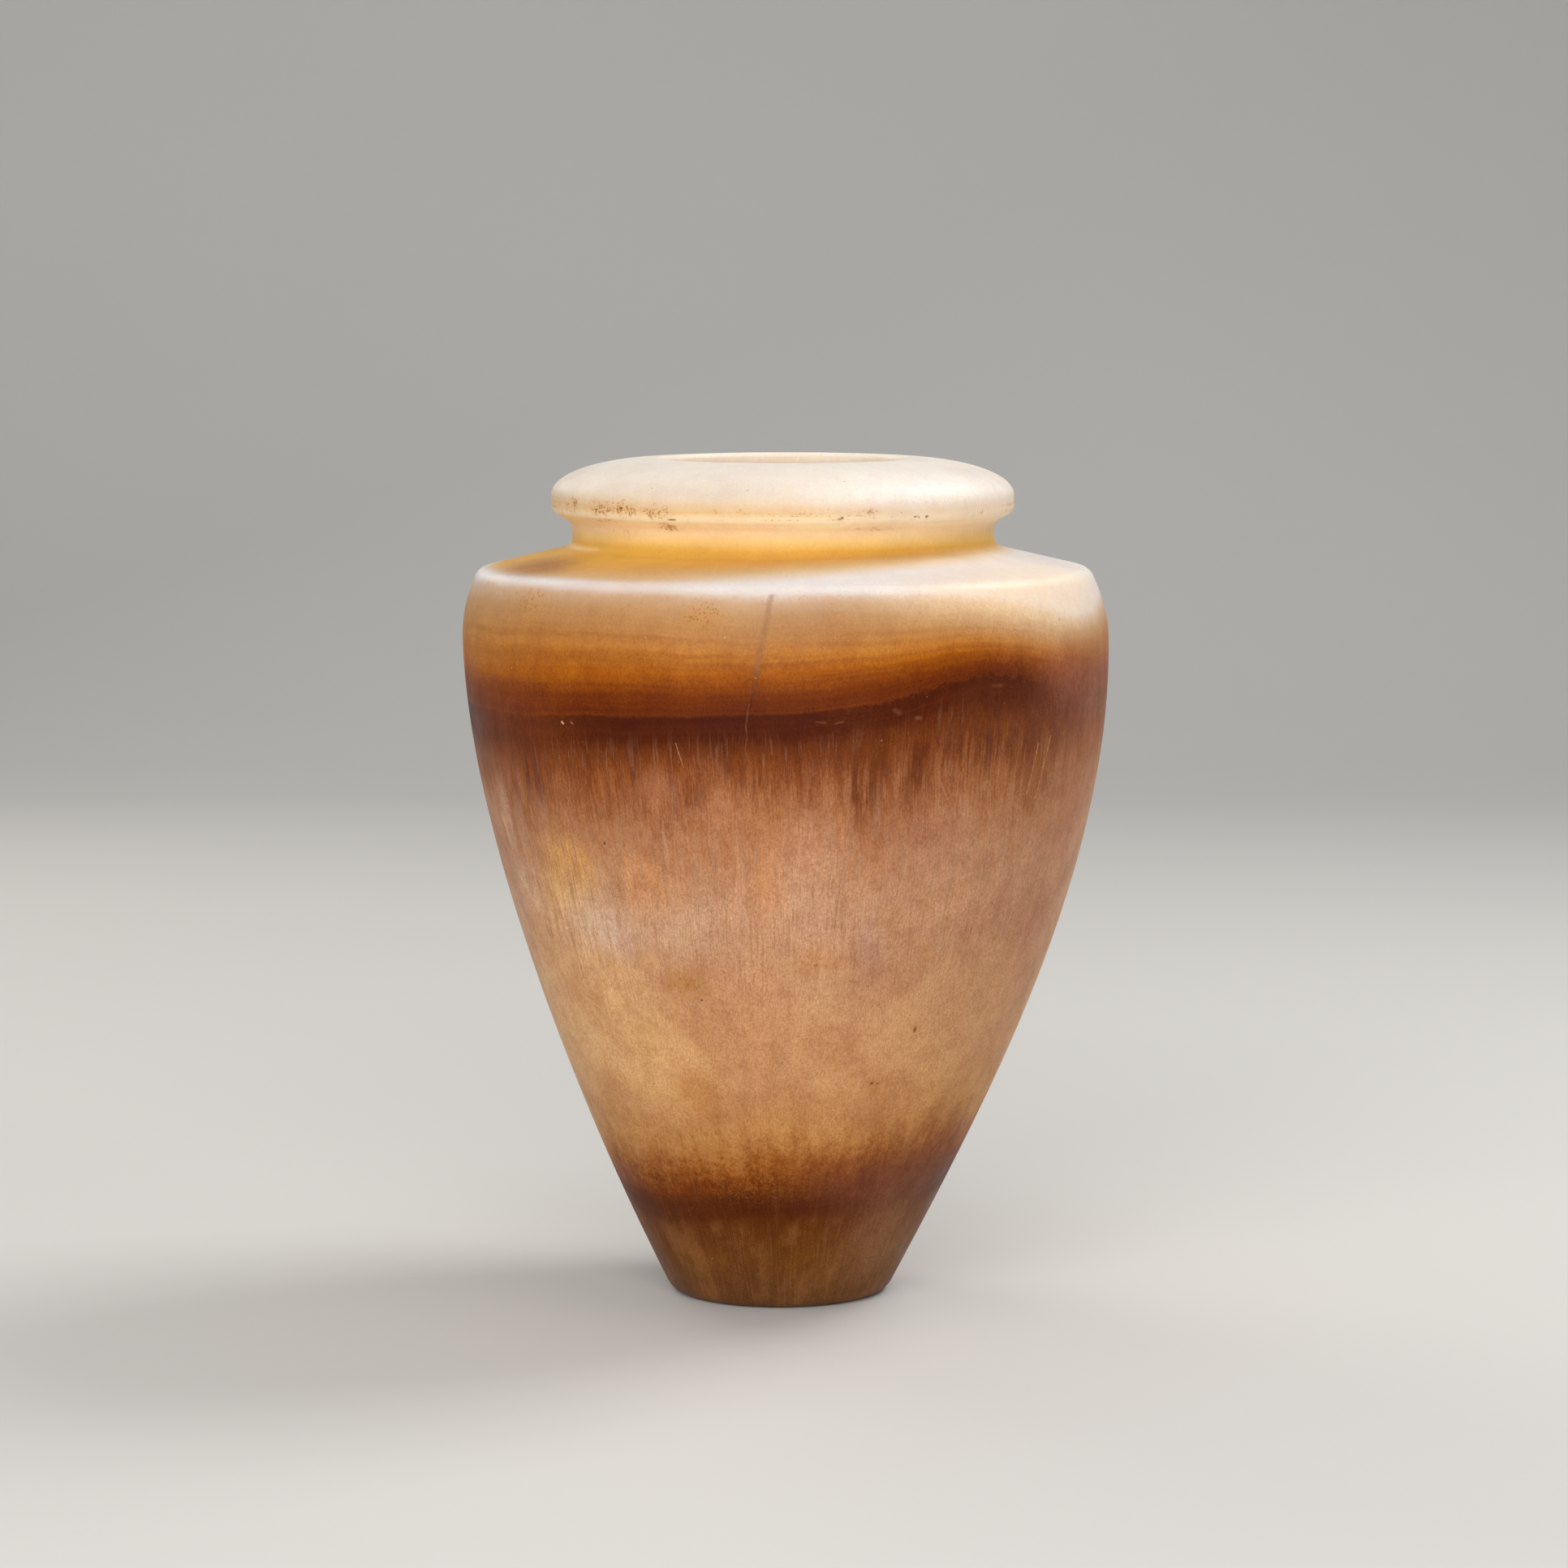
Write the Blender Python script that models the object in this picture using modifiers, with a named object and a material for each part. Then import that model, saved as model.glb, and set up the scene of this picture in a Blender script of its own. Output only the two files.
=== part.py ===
# Alabaster jar: one vessel with a collar rim, cut from a single block of banded stone.
# Metres, +Z up. The origin is on the ground, under the middle of the belly.

import math

import bpy

# Outer side, from the ground up
FOOT_RADIUS = 0.0345           # flat disc that the jar stands on
FOOT_ROUNDING = 0.0070         # rounded edge between that disc and the side
SIDE_LEAN = 27.0               # degrees from upright where the side leaves the foot
SIDE_LOW_PULL = 0.078          # length of the side's curve handle at the foot
SIDE_HIGH_PULL = 0.074         # length of the side's curve handle below the belly
BELLY_RADIUS = 0.1152          # widest part
BELLY_HEIGHT = 0.2365          # its height above the ground
SHOULDER_RISE = 0.0215         # from the widest part up to the shoulder's turn
SHOULDER_INSET = 0.0049        # how far the turn starts inside the widest part
SHOULDER_LEAN = 20.7           # degrees from upright where the turn starts
SHOULDER_ROUNDING = 0.0056     # radius of the turn
SHOULDER_SLOPE = 13.2          # degrees from level of the shoulder's top
NECK_RADIUS = 0.0751           # bottom of the groove under the collar
NECK_ROUNDING = 0.0020         # groove's lower corner
GROOVE_HEIGHT = 0.0126         # from the foot of the neck to the collar's lower edge
COLLAR_ROUNDING = 0.0047       # groove's upper corner
COLLAR_SLOPE = 29.5            # degrees from level of the collar's underside
COLLAR_OVERHANG = 0.0073       # how far the collar stands out past the neck
COLLAR_EDGE_ROUNDING = 0.0020  # its lower edge
COLLAR_EDGE_HEIGHT = 0.0058    # upright part of its edge
COLLAR_CROWN = 0.0128          # height of its domed top
MOUTH_LIP = 0.0018             # rounded edge of the mouth
COLLAR_RADIUS = NECK_RADIUS + COLLAR_OVERHANG

# Hollow
MOUTH_RADIUS = 0.0430          # bore through collar and neck
SHOULDER_WALL = 0.0150         # stone above the hollow, measured square to the shoulder
BODY_WALL = 0.0140             # stone round the hollow
FLOOR_THICKNESS = 0.0220       # stone under the hollow
HOLLOW_CORNER = 0.0120         # rounding between floor and wall, and where the bore opens out

# The body was cut by eye, and its middle stands this far to +X of the line from foot to mouth
BODY_DRIFT = 0.0029
MOUTH_DRIFT = 0.0010           # the mouth stands this far to +X of the foot

# Points on each stretch of the outline, and round the jar
STEPS_AROUND = 80
SIDE_STEPS = 9
CROWN_STEPS = 8
SWELL_STEPS = 3
ROUNDING_STEPS = 3

STONE_COLOUR = (0.56, 0.33, 0.15, 1.0)
STONE_ROUGHNESS = 0.38


def arc(centre, radius, start, end, steps):
    # points from one angle to another, in degrees from +X
    points = []
    for step in range(steps + 1):
        angle = math.radians(start + (end - start) * step / steps)
        points.append((centre[0] + radius * math.cos(angle), centre[1] + radius * math.sin(angle)))
    return points


def bezier(start, first_handle, second_handle, end, steps):
    points = []
    for step in range(steps + 1):
        t = step / steps
        weights = ((1 - t) ** 3, 3 * t * (1 - t) ** 2, 3 * t * t * (1 - t), t ** 3)
        corners = (start, first_handle, second_handle, end)
        points.append(tuple(sum(w * c[axis] for w, c in zip(weights, corners)) for axis in (0, 1)))
    return points


def toward(point, lean, distance):
    # a point further along a direction that leans outwards from upright by so many degrees
    angle = math.radians(lean)
    return (point[0] + distance * math.sin(angle), point[1] + distance * math.cos(angle))


def foot_and_side():
    # from the edge of the standing disc up to the widest part
    edge = arc((FOOT_RADIUS, FOOT_ROUNDING), FOOT_ROUNDING, -90, -SIDE_LEAN, ROUNDING_STEPS)
    belly = (BELLY_RADIUS, BELLY_HEIGHT)
    low_handle = toward(edge[-1], SIDE_LEAN, SIDE_LOW_PULL)
    side = bezier(edge[-1], low_handle, toward(belly, 0, -SIDE_HIGH_PULL), belly, SIDE_STEPS)
    return edge, side


def shoulder():
    # from the widest part over the turn and up the sloping top to the foot of the neck
    belly = (BELLY_RADIUS, BELLY_HEIGHT)
    turn_start = (BELLY_RADIUS - SHOULDER_INSET, BELLY_HEIGHT + SHOULDER_RISE)
    swell = bezier(belly, toward(belly, 0, SHOULDER_RISE / 2),
                   toward(turn_start, -SHOULDER_LEAN, -SHOULDER_RISE / 7), turn_start, SWELL_STEPS)
    lean = math.radians(SHOULDER_LEAN)
    centre = (turn_start[0] - SHOULDER_ROUNDING * math.cos(lean),
              turn_start[1] - SHOULDER_ROUNDING * math.sin(lean))
    turn = arc(centre, SHOULDER_ROUNDING, SHOULDER_LEAN, 90 - SHOULDER_SLOPE, ROUNDING_STEPS)
    neck_foot = turn[-1][1] + (turn[-1][0] - NECK_RADIUS) * math.tan(math.radians(SHOULDER_SLOPE))
    return swell, turn, neck_foot


def groove(neck_foot):
    # rounded groove between the shoulder's top and the collar's underside
    slope = math.radians(SHOULDER_SLOPE)
    reach = NECK_ROUNDING
    low_centre = (NECK_RADIUS + reach,
                  neck_foot - reach * math.tan(slope) + reach / math.cos(slope))
    low = arc(low_centre, reach, 270 - SHOULDER_SLOPE, 180, ROUNDING_STEPS)
    slope = math.radians(COLLAR_SLOPE)
    collar_base = neck_foot + GROOVE_HEIGHT
    reach = COLLAR_ROUNDING
    underside = collar_base - (COLLAR_RADIUS - NECK_RADIUS - reach) * math.tan(slope)
    high_centre = (NECK_RADIUS + reach, underside - reach / math.cos(slope))
    high = arc(high_centre, reach, 180, 90 + COLLAR_SLOPE, ROUNDING_STEPS)
    return low, high, collar_base


def collar(collar_base):
    # lower edge, upright edge, and a quarter of an ellipse over to the lip of the mouth
    slope = math.radians(COLLAR_SLOPE)
    reach = COLLAR_EDGE_ROUNDING
    centre = (COLLAR_RADIUS - reach, collar_base - reach * math.tan(slope) + reach / math.cos(slope))
    edge = arc(centre, reach, COLLAR_SLOPE - 90, 0, ROUNDING_STEPS)
    crown_base = collar_base + COLLAR_EDGE_HEIGHT
    lip_radius = MOUTH_RADIUS + MOUTH_LIP
    crown = []
    for step in range(CROWN_STEPS + 1):
        angle = math.radians(90 * step / CROWN_STEPS)
        crown.append((lip_radius + (COLLAR_RADIUS - lip_radius) * math.cos(angle),
                      crown_base + COLLAR_CROWN * math.sin(angle)))
    top = crown_base + COLLAR_CROWN
    lip = arc((lip_radius, top - MOUTH_LIP), MOUTH_LIP, 90, 180, ROUNDING_STEPS)
    return edge, crown, lip


def inward(points, distance):
    # the same line moved square to itself, into the stone
    moved = []
    for index, point in enumerate(points):
        before = points[max(index - 1, 0)]
        after = points[min(index + 1, len(points) - 1)]
        run = math.hypot(after[0] - before[0], after[1] - before[1])
        moved.append((point[0] - distance * (after[1] - before[1]) / run,
                      point[1] + distance * (after[0] - before[0]) / run))
    return moved


def hollow(side, neck_foot):
    # from the middle of the floor up the inner wall and under the shoulder to the bore
    wall = [point for point in inward(side, BODY_WALL) if point[1] > FLOOR_THICKNESS + HOLLOW_CORNER]
    foot = wall[0]
    lean = math.degrees(math.atan2(wall[1][0] - foot[0], wall[1][1] - foot[1]))
    drop = foot[1] - FLOOR_THICKNESS
    floor_edge = (foot[0] - drop, FLOOR_THICKNESS)
    corner = bezier(floor_edge, (floor_edge[0] + drop / 2, FLOOR_THICKNESS),
                    toward(foot, lean, -drop / 2), foot, ROUNDING_STEPS)
    slope = math.radians(SHOULDER_SLOPE)
    ceiling_drop = SHOULDER_WALL / math.cos(slope)

    def ceiling(radius):
        return neck_foot + (NECK_RADIUS - radius) * math.tan(slope) - ceiling_drop

    bend = wall[-1][0] - MOUTH_RADIUS
    bend_start = (MOUTH_RADIUS + bend / 2, ceiling(MOUTH_RADIUS + bend / 2))
    upper_handle = (wall[-1][0], (wall[-1][1] + bend_start[1]) / 2)
    inner_handle = (bend_start[0] + bend / 4, ceiling(bend_start[0] + bend / 4))
    under = bezier(wall[-1], upper_handle, inner_handle, bend_start, ROUNDING_STEPS)
    bore_edge = (MOUTH_RADIUS + HOLLOW_CORNER / 2, ceiling(MOUTH_RADIUS + HOLLOW_CORNER / 2))
    bore_foot = (MOUTH_RADIUS, ceiling(MOUTH_RADIUS))
    opening = bezier(bore_edge, bore_foot, bore_foot, toward(bore_foot, 0, HOLLOW_CORNER), ROUNDING_STEPS)
    return [(0.0, FLOOR_THICKNESS)], corner, wall, under, opening


def jar_outline():
    # hollow first, then over the mouth and down the outer side, which turns the faces outwards
    edge, side = foot_and_side()
    swell, turn, neck_foot = shoulder()
    low, high, collar_base = groove(neck_foot)
    outer = [(0.0, 0.0)]
    for stretch in (edge, side, swell, turn, low, high, *collar(collar_base)):
        outer.extend(stretch)
    inner = []
    for stretch in hollow(side, neck_foot):
        inner.extend(stretch)
    outline = []
    for point in inner + outer[::-1]:
        if not outline or math.dist(point, outline[-1]) > 0.00005:
            outline.append(point)
    return outline


def drift(height, top):
    # how far the axis stands to +X at a height, by eye-cut bulge and lean
    share = min(max(height / top, 0.0), 1.0)
    return BODY_DRIFT * math.sin(math.pi * share) ** 1.5 + MOUTH_DRIFT * share


def turned(name, outline, steps):
    mesh = bpy.data.meshes.new(name + " outline")
    mesh.from_pydata([(x, 0.0, z) for x, z in outline], [(i, i + 1) for i in range(len(outline) - 1)], [])
    blank = bpy.data.objects.new(name + " outline", mesh)
    bpy.context.scene.collection.objects.link(blank)
    screw = blank.modifiers.new("Turn", "SCREW")
    screw.steps = steps
    screw.render_steps = steps
    screw.use_merge_vertices = True
    screw.merge_threshold = 0.00001
    return blank


def alabaster():
    material = bpy.data.materials.new("alabaster")
    material.use_nodes = True
    shader = material.node_tree.nodes["Principled BSDF"]
    shader.inputs["Base Color"].default_value = STONE_COLOUR
    shader.inputs["Roughness"].default_value = STONE_ROUGHNESS
    shader.inputs["Metallic"].default_value = 0.0
    return material


def jar(collection):
    outline = jar_outline()
    blank = turned("jar", outline, STEPS_AROUND)
    bpy.context.view_layer.update()
    shaped = blank.evaluated_get(bpy.context.evaluated_depsgraph_get())
    mesh = bpy.data.meshes.new_from_object(shaped)
    mesh.name = "jar"
    bpy.data.objects.remove(blank)
    top = max(height for _, height in outline)
    for vertex in mesh.vertices:
        vertex.co.x += drift(vertex.co.z, top) - drift(BELLY_HEIGHT, top)
    mesh.shade_smooth()
    mesh.set_sharp_from_angle(angle=math.radians(35))
    mesh.materials.append(alabaster())
    piece = bpy.data.objects.new("jar", mesh)
    collection.objects.link(piece)
    return piece


def main():
    for old in list(bpy.data.objects):
        bpy.data.objects.remove(old)
    collection = bpy.data.collections.new("alabaster jar")
    bpy.context.scene.collection.children.link(collection)
    jar(collection)


main()
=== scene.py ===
import math

import bpy
import numpy
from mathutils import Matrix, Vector


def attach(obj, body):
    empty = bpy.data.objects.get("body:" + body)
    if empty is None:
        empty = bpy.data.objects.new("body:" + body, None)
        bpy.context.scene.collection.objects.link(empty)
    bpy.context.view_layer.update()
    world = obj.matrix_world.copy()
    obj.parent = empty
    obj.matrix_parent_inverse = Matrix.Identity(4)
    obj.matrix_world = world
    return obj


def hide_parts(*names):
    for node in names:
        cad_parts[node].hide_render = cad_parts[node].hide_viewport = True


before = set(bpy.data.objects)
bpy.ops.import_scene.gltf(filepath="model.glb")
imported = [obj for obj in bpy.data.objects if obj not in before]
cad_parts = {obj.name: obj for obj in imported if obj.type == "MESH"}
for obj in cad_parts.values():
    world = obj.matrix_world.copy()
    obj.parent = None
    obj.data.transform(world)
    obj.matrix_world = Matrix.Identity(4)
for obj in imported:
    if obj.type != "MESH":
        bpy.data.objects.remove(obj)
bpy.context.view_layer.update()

# Sizes are in metres, and in millimetres in the lists of places on the jar and of layers.
# Azimuths are in degrees round the jar, 0 facing the camera and positive to +X.

# The jar's sizes are the solid's, but for softer roundings in the groove and under the collar's edge
jarShape = {
    "footRadius": 0.0345, "footRounding": 0.0070,
    "sideLean": 27.0, "sideLowPull": 0.078, "sideHighPull": 0.074,
    "bellyRadius": 0.1152, "bellyHeight": 0.2365,
    "shoulderRise": 0.0215, "shoulderInset": 0.0049, "shoulderLean": 20.7,
    "shoulderRounding": 0.0056, "shoulderSlope": 13.2,
    "neckRadius": 0.0751, "neckRounding": 0.0038,
    "grooveHeight": 0.0126, "collarRounding": 0.0047, "collarSlope": 29.5,
    "collarOverhang": 0.0073, "collarEdgeRounding": 0.0030, "collarEdgeHeight": 0.0058,
    "collarCrown": 0.0128, "mouthLip": 0.0018,
    "mouthRadius": 0.0430, "shoulderWall": 0.0150, "bodyWall": 0.0140,
    "floorThickness": 0.0220, "hollowCorner": 0.0120,
    "bodyDrift": 0.0029, "mouthDrift": 0.0010,
}

# How the visible mesh is cut from that outline
jarMesh = {
    "around": 440,            # faces round the jar
    "sideRows": 84, "swellRows": 8, "crownRows": 22, "roundRows": 5,
    "longestStep": 0.0032,    # outer side and collar
    "hiddenStep": 0.0110,     # inside and underfoot
    "waviness": 0.00022,      # hand-cut unevenness of the surface
    "waveSize": 0.040,
    "waveBias": 0.85,         # keeps the waves inside the solid's outline
    "flatFoot": 0.004,        # the height up to which the waves and pits fade in
}


# Outline

def arcPoints(centre, radius, start, end, steps):
    points = []
    for step in range(steps + 1):
        angle = math.radians(start + (end - start) * step / steps)
        points.append((centre[0] + radius * math.cos(angle), centre[1] + radius * math.sin(angle)))
    return points


def curvePoints(start, firstHandle, secondHandle, end, steps):
    points = []
    for step in range(steps + 1):
        t = step / steps
        shares = ((1 - t) ** 3, 3 * t * (1 - t) ** 2, 3 * t * t * (1 - t), t ** 3)
        corners = (start, firstHandle, secondHandle, end)
        points.append(tuple(sum(s * c[axis] for s, c in zip(shares, corners)) for axis in (0, 1)))
    return points


def leaning(point, lean, distance):
    angle = math.radians(lean)    # from upright, outwards
    return (point[0] + distance * math.sin(angle), point[1] + distance * math.cos(angle))


def outerStretches(shape, mesh):
    # foot, side, shoulder, groove and collar, from the ground up
    rows = mesh["roundRows"]
    edge = arcPoints((shape["footRadius"], shape["footRounding"]), shape["footRounding"],
                     -90, -shape["sideLean"], rows)
    belly = (shape["bellyRadius"], shape["bellyHeight"])
    side = curvePoints(edge[-1], leaning(edge[-1], shape["sideLean"], shape["sideLowPull"]),
                       leaning(belly, 0, -shape["sideHighPull"]), belly, mesh["sideRows"])
    turnStart = (belly[0] - shape["shoulderInset"], belly[1] + shape["shoulderRise"])
    swell = curvePoints(belly, leaning(belly, 0, shape["shoulderRise"] / 2),
                        leaning(turnStart, -shape["shoulderLean"], -shape["shoulderRise"] / 7),
                        turnStart, mesh["swellRows"])
    lean = math.radians(shape["shoulderLean"])
    radius = shape["shoulderRounding"]
    turn = arcPoints((turnStart[0] - radius * math.cos(lean), turnStart[1] - radius * math.sin(lean)),
                     radius, shape["shoulderLean"], 90 - shape["shoulderSlope"], rows)
    slope = math.radians(shape["shoulderSlope"])
    neckFoot = turn[-1][1] + (turn[-1][0] - shape["neckRadius"]) * math.tan(slope)
    radius = shape["neckRounding"]
    low = arcPoints((shape["neckRadius"] + radius,
                     neckFoot - radius * math.tan(slope) + radius / math.cos(slope)),
                    radius, 270 - shape["shoulderSlope"], 180, rows)
    slope = math.radians(shape["collarSlope"])
    collarBase = neckFoot + shape["grooveHeight"]
    radius = shape["collarRounding"]
    underside = collarBase - (shape["collarOverhang"] - radius) * math.tan(slope)
    high = arcPoints((shape["neckRadius"] + radius, underside - radius / math.cos(slope)),
                     radius, 180, 90 + shape["collarSlope"], rows)
    collarRadius = shape["neckRadius"] + shape["collarOverhang"]
    radius = shape["collarEdgeRounding"]
    lowerEdge = arcPoints((collarRadius - radius,
                           collarBase - radius * math.tan(slope) + radius / math.cos(slope)),
                          radius, shape["collarSlope"] - 90, 0, rows)
    crownBase = collarBase + shape["collarEdgeHeight"]
    lipRadius = shape["mouthRadius"] + shape["mouthLip"]
    crown = []
    for step in range(mesh["crownRows"] + 1):
        angle = math.radians(90 * step / mesh["crownRows"])
        crown.append((lipRadius + (collarRadius - lipRadius) * math.cos(angle),
                      crownBase + shape["collarCrown"] * math.sin(angle)))
    top = crownBase + shape["collarCrown"]
    lip = arcPoints((lipRadius, top - shape["mouthLip"]), shape["mouthLip"], 90, 180, rows)
    return {"edge": edge, "side": side, "swell": swell, "turn": turn, "low": low, "high": high,
            "lowerEdge": lowerEdge, "crown": crown, "lip": lip, "neckFoot": neckFoot, "top": top}


def inwardLine(points, distance):
    moved = []
    for index, point in enumerate(points):
        before = points[max(index - 1, 0)]
        after = points[min(index + 1, len(points) - 1)]
        run = math.hypot(after[0] - before[0], after[1] - before[1])
        moved.append((point[0] - distance * (after[1] - before[1]) / run,
                      point[1] + distance * (after[0] - before[0]) / run))
    return moved


def hollowStretches(shape, mesh, outer):
    # floor, wall, underside of the shoulder and bore, from the middle of the floor up
    rows = mesh["roundRows"]
    wallFoot = shape["floorThickness"] + shape["hollowCorner"]
    wall = [point for point in inwardLine(outer["side"], shape["bodyWall"]) if point[1] > wallFoot][::4]
    foot = wall[0]
    lean = math.degrees(math.atan2(wall[1][0] - foot[0], wall[1][1] - foot[1]))
    drop = foot[1] - shape["floorThickness"]
    floorEdge = (foot[0] - drop, shape["floorThickness"])
    corner = curvePoints(floorEdge, (floorEdge[0] + drop / 2, floorEdge[1]),
                         leaning(foot, lean, -drop / 2), foot, rows)
    slope = math.radians(shape["shoulderSlope"])

    def ceiling(radius):
        rise = (shape["neckRadius"] - radius) * math.tan(slope)
        return outer["neckFoot"] + rise - shape["shoulderWall"] / math.cos(slope)

    bore = shape["mouthRadius"]
    bend = wall[-1][0] - bore
    bendStart = (bore + bend / 2, ceiling(bore + bend / 2))
    under = curvePoints(wall[-1], (wall[-1][0], (wall[-1][1] + bendStart[1]) / 2),
                        (bendStart[0] + bend / 4, ceiling(bendStart[0] + bend / 4)), bendStart, rows)
    rim = bore + shape["hollowCorner"] / 2
    boreFoot = (bore, ceiling(bore))
    opening = curvePoints((rim, ceiling(rim)), boreFoot, boreFoot,
                          leaning(boreFoot, 0, shape["hollowCorner"]), rows)
    return [[(0.0, shape["floorThickness"])], corner, wall, under, opening]


def steppedLine(stretches, longestStep):
    # one line through the stretches, with long straight runs cut into even steps
    line = []
    for point in (point for stretch in stretches for point in stretch):
        if line:
            run = math.dist(point, line[-1])
            if run < 0.00003:
                continue
            last = line[-1]
            pieces = max(1, math.ceil(run / longestStep - 0.001))
            for piece in range(1, pieces):
                share = piece / pieces
                line.append((last[0] + (point[0] - last[0]) * share, last[1] + (point[1] - last[1]) * share))
        line.append(point)
    return line


def jarOutline(shape, mesh):
    # hollow first, then over the mouth and down the outer side, so that the faces point out
    outer = outerStretches(shape, mesh)
    names = ("edge", "side", "swell", "turn", "low", "high", "lowerEdge", "crown", "lip")
    outside = steppedLine([outer[name] for name in names], mesh["longestStep"])
    inside = steppedLine(hollowStretches(shape, mesh, outer), mesh["hiddenStep"])
    inside = steppedLine([inside, [outside[-1]]], mesh["hiddenStep"])
    foot = steppedLine([[outside[0], (0.0, 0.0)]], mesh["hiddenStep"])
    line = inside + outside[-2::-1] + foot[1:]
    return line, len(inside), outer


driftPower = 1.5    # how much the drift gathers at half height


def driftAt(height, shape, top):
    share = min(max(height / top, 0.0), 1.0)
    return shape["bodyDrift"] * math.sin(math.pi * share) ** driftPower + shape["mouthDrift"] * share


outline, insideRows, outerParts = jarOutline(jarShape, jarMesh)
jarTop = outerParts["top"]
driftZero = driftAt(jarShape["bellyHeight"], jarShape, jarTop)
print("outline:", len(outline), "rows,", 2 * len(outline) * jarMesh["around"], "triangles")


def metres(*sizes):
    return tuple(size / 1000 for size in sizes)


def surfacePoint(azimuth, height):
    # where a place on the outer surface lies, from its height in millimetres
    height /= 1000
    outside = outline[insideRows:]    # the outside only ever falls, from the lip to the foot
    for above, below in zip(outside, outside[1:]):
        if below[1] <= height:
            break
    share = min(max((above[1] - height) / max(above[1] - below[1], 0.00001), 0.0), 1.0)
    radius = above[0] + (below[0] - above[0]) * share
    angle = math.radians(azimuth)
    shift = driftAt(height, jarShape, jarTop) - driftZero
    return Vector((radius * math.sin(angle) + shift, -radius * math.cos(angle), height))


def added(name, data):
    thing = bpy.data.objects.new(name, data)
    bpy.context.scene.collection.objects.link(thing)
    return thing


# Node helpers

class Value:
    # a node's output to reckon with: + - * / and abs() make nodes
    def __init__(self, socket):
        self.socket = socket
        self.tree = socket.id_data

    def __add__(self, other):
        return calc("ADD", self, other)

    def __sub__(self, other):
        return calc("SUBTRACT", self, other)

    def __rsub__(self, other):
        return calc("SUBTRACT", other, self)

    def __mul__(self, other):
        return calc("MULTIPLY", self, other)

    def __truediv__(self, other):
        return calc("DIVIDE", self, other)

    def __rtruediv__(self, other):
        return calc("DIVIDE", other, self)

    def __abs__(self):
        return calc("ABSOLUTE", self)


def put(tree, kind, inputs=None, **settings):
    node = tree.nodes.new(kind)
    for name, value in settings.items():
        setattr(node, name, value)
    for key, value in (inputs or {}).items():
        if isinstance(value, Value):
            send(value, node.inputs[key])
        else:
            node.inputs[key].default_value = value
    return node


def send(value, socket):
    value.tree.links.new(value.socket, socket)


def made(tree, kind, inputs=None, output=0, **settings):
    return Value(put(tree, kind, inputs, **settings).outputs[output])


def valuesOf(sockets):
    return {socket.name: Value(socket) for socket in sockets}


def treeOf(*values):
    return next(value.tree for value in values if isinstance(value, Value))


def calc(operation, first, second=0.0, third=0.0, clamp=False):
    return made(treeOf(first, second, third), "ShaderNodeMath", {0: first, 1: second, 2: third},
                operation=operation, use_clamp=clamp)


def along(operation, first, second=(0.0, 0.0, 0.0), output=0):
    return made(first.tree, "ShaderNodeVectorMath", {0: first, 1: second}, output, operation=operation)


def scaled(vector, amount):
    return made(vector.tree, "ShaderNodeVectorMath", {0: vector, "Scale": amount}, operation="SCALE")


def remap(value, low, high, toLow=0.0, toHigh=1.0, smooth=True):
    return made(value.tree, "ShaderNodeMapRange",
                {"Value": value, "From Min": low, "From Max": high, "To Min": toLow, "To Max": toHigh},
                "Result", interpolation_type="SMOOTHSTEP" if smooth else "LINEAR")


def between(value, low, full, fullTo, none):
    # rises from low to full, stays, and falls from fullTo to none
    return remap(value, low, full) * remap(value, none, fullTo)


def noise(vector, scale, detail=3.0, rough=0.5):
    if isinstance(scale, tuple):
        vector, scale = along("MULTIPLY", vector, scale), 1.0
    return made(vector.tree, "ShaderNodeTexNoise",
                {"Vector": vector, "Scale": scale, "Detail": detail, "Roughness": rough}, "Fac")


def blend(amount, first, second, mode="MIX"):
    return made(treeOf(amount, first, second), "ShaderNodeMix", {0: amount, 6: first, 7: second}, 2,
                data_type="RGBA", blend_type=mode)


def linear(red, green, blue):
    # a screen colour from 0 to 255 as the shader wants it
    def channel(value):
        value /= 255
        return value / 12.92 if value <= 0.04045 else ((value + 0.055) / 1.055) ** 2.4
    return (channel(red), channel(green), channel(blue), 1.0)


def newGroup(name, kind, inputs, outputs):
    # each input has its kind or its first value, and each output its kind
    kinds = {int: "Int", float: "Float", tuple: "Vector"}
    tree = bpy.data.node_groups.new(name, kind)
    for label, value in inputs.items():
        socketKind = value if isinstance(value, str) else kinds[type(value)]
        socket = tree.interface.new_socket(name=label, in_out="INPUT",
                                           socket_type="NodeSocket" + socketKind)
        if socketKind != value:
            socket.default_value = value
    for label, socketKind in outputs.items():
        tree.interface.new_socket(name=label, in_out="OUTPUT", socket_type="NodeSocket" + socketKind)
    given = valuesOf(tree.nodes.new("NodeGroupInput").outputs)
    return tree, given, tree.nodes.new("NodeGroupOutput").inputs


def useGroup(group, inputs):
    return valuesOf(put(inputs["Position"].tree, "ShaderNodeGroup", inputs, node_tree=group).outputs)


def here(tree):
    return made(tree, "GeometryNodeInputPosition")


def parts(vector):
    node = put(vector.tree, "ShaderNodeSeparateXYZ", {0: vector})
    return [Value(socket) for socket in node.outputs]


def joined(x=0.0, y=0.0, z=0.0):
    return made(treeOf(x, y, z), "ShaderNodeCombineXYZ", {0: x, 1: y, 2: z})


def itemOf(geometry, index, value, kind):
    # one item's value from another geometry
    return made(geometry.tree, "GeometryNodeSampleIndex",
                {"Geometry": geometry, "Value": value, "Index": index}, data_type=kind, domain="POINT")


# Jar mesh

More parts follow.
